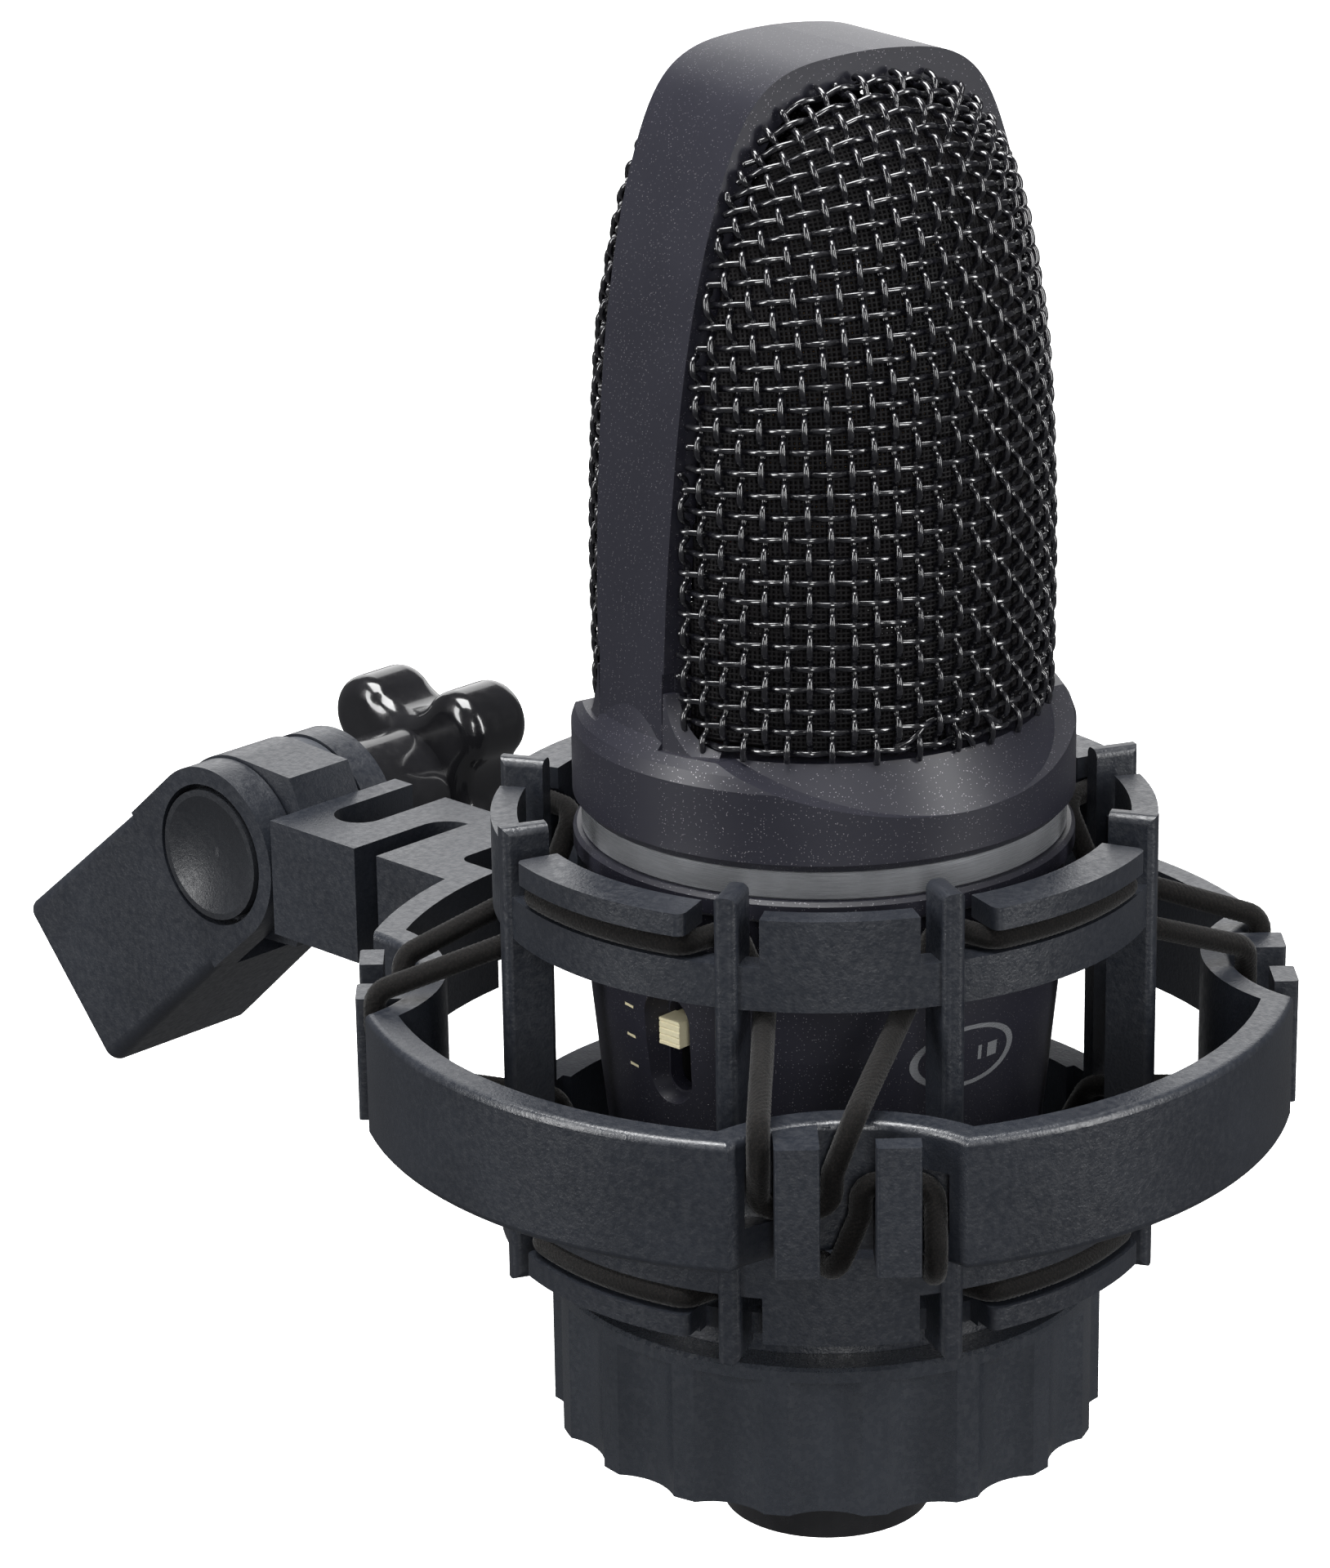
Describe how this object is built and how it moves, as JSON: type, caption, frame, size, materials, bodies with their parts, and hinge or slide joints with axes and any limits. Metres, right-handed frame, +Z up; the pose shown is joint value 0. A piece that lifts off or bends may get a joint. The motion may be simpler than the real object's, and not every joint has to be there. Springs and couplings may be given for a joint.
{
  "type": "condenser microphone in elastic shock mount",
  "caption": "Side-address studio condenser microphone with mesh head, held in an elastic suspension cage on a swivelling threaded stand adapter with a clamping knob.",
  "frame": {"origin": "centre of the lower rim of the microphone's output connector, on the microphone's axis", "axes": "+Z up the microphone's axis, +Y along the support arm towards the stand adapter, +X along the swivel axis towards the knob"},
  "size_m": [0.1, 0.1734, 0.1622],
  "materials": {
    "mic_paint": "dark plum metallic paint, satin",
    "mesh_steel": "plated woven wire",
    "mesh_fine": "fine woven wire",
    "inner_alloy": "machined",
    "screw_steel": "plated",
    "saddle_plastic": "moulded",
    "pad_rubber": "soft",
    "capsule_brass": "machined",
    "gold_film": "sputtered film",
    "lead_sleeve": "insulated lead",
    "trim_metal": "gunmetal plated",
    "switch_case": "moulded",
    "slider_plastic": "cream moulded",
    "board_laminate": "green laminate",
    "component_case": "component cases",
    "tail_metal": "plated",
    "insert_plastic": "moulded",
    "pin_metal": "plated contacts",
    "mount_plastic": "slate grey grained",
    "collet_plastic": "moulded",
    "nut_plastic": "dark grained",
    "elastic_braid": "braided sleeve over elastic",
    "insert_brass": "machined",
    "reducer_steel": "plated",
    "bolt_steel": "plated",
    "cap_plastic": "dark grained",
    "washer_plastic": "toothed washer",
    "knob_plastic": "glossy black"
  },
  "bodies": {
    "adapter": {"adapter": "mount_plastic", "thread_insert": "insert_brass", "thread_reducer": "reducer_steel", "pivot_bolt": "bolt_steel", "dish_cap": "cap_plastic", "friction_washer": "washer_plastic"},
    "ring": {"outer_ring": "mount_plastic"},
    "knob": {"knob": "knob_plastic", "knob_nut": "insert_brass"},
    "microphone": {"mic_frame": "mic_paint", "mesh_front": "mesh_steel", "mesh_rear": "mesh_steel", "mesh_front_fine": "mesh_fine", "mesh_rear_fine": "mesh_fine", "head_deck": "inner_alloy", "deck_screws": "screw_steel", "capsule_saddle": "saddle_plastic", "saddle_pad": "pad_rubber", "capsule_plate": "capsule_brass", "capsule_rings": "capsule_brass", "capsule_screws": "screw_steel", "diaphragms": "gold_film", "capsule_leads": "lead_sleeve", "trim_ring": "trim_metal", "inner_collar": "inner_alloy", "body_shell": "mic_paint", "pad_switch": "switch_case", "bass_switch": "switch_case", "chassis": "inner_alloy", "main_board": "board_laminate", "board_parts": "component_case", "tail_tube": "tail_metal", "tail_ring": "tail_metal", "xlr_insert": "insert_plastic", "xlr_pins": "pin_metal", "cage": "mount_plastic", "collet": "collet_plastic", "elastic_upper": "elastic_braid", "elastic_lower": "elastic_braid"},
    "clamp_nut": {"lock_nut": "nut_plastic"},
    "pad_slider": {"pad_slider": "slider_plastic"},
    "bass_slider": {"bass_slider": "slider_plastic"}
  },
  "joints": [
    {"name": "tilt", "type": "hinge", "parent": "adapter", "child": "ring", "pos_m": [0, 0.0897, 0.0555], "axis": [1, 0, 0], "range_deg": [-35, 40]},
    {"name": "knob_turn", "type": "hinge", "parent": "adapter", "child": "knob", "pos_m": [0, 0.0897, 0.0555], "axis": [1, 0, 0], "range_deg": [-720, 30]},
    {"name": "suspension", "type": "slide", "parent": "ring", "child": "microphone", "axis": [0, 0, 1], "range_m": [-0.0025, 0.0025], "stiffness_N_per_m": 6000, "deforming": ["elastic_upper", "elastic_lower"]},
    {"name": "clamp_nut_turn", "type": "hinge", "parent": "microphone", "child": "clamp_nut", "pos_m": [0, 0, 0.02], "axis": [0, 0, 1], "range_deg": [-30, 720]},
    {"name": "pad_switch_travel", "type": "slide", "parent": "microphone", "child": "pad_slider", "axis": [0, 0, 1], "range_m": [-0.0036, 0]},
    {"name": "bass_switch_travel", "type": "slide", "parent": "microphone", "child": "bass_slider", "axis": [0, 0, 1], "range_m": [-0.0036, 0]}
  ]
}
